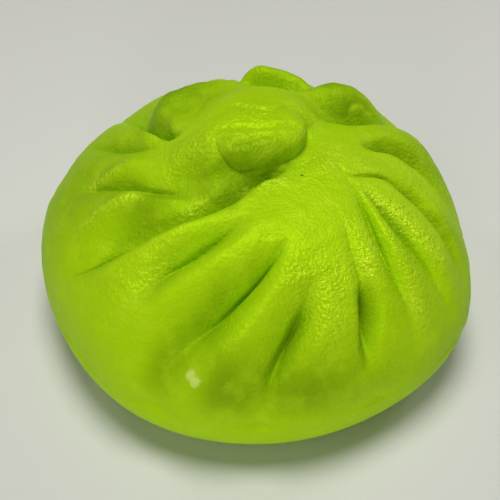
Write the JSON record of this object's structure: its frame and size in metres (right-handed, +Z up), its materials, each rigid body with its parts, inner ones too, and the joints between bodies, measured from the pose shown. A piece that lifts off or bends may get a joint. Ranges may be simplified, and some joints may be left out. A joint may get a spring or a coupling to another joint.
{
  "type": "steamed bun",
  "caption": "Round steamed bun with a flat base, a domed body of swirled pleats and a pinched knob on top, in yellow-green dough.",
  "frame": {"origin": "centre of the bun's box in X and Y, at its flat base", "axes": "+Z up through the knob, -Y towards the side shown at the front, +X to that side's right"},
  "size_m": [0.0972, 0.101, 0.0516],
  "materials": {
    "dough": "soft moist skin, satin"
  },
  "bodies": {
    "root": {"bun": "dough"}
  },
  "joints": []
}
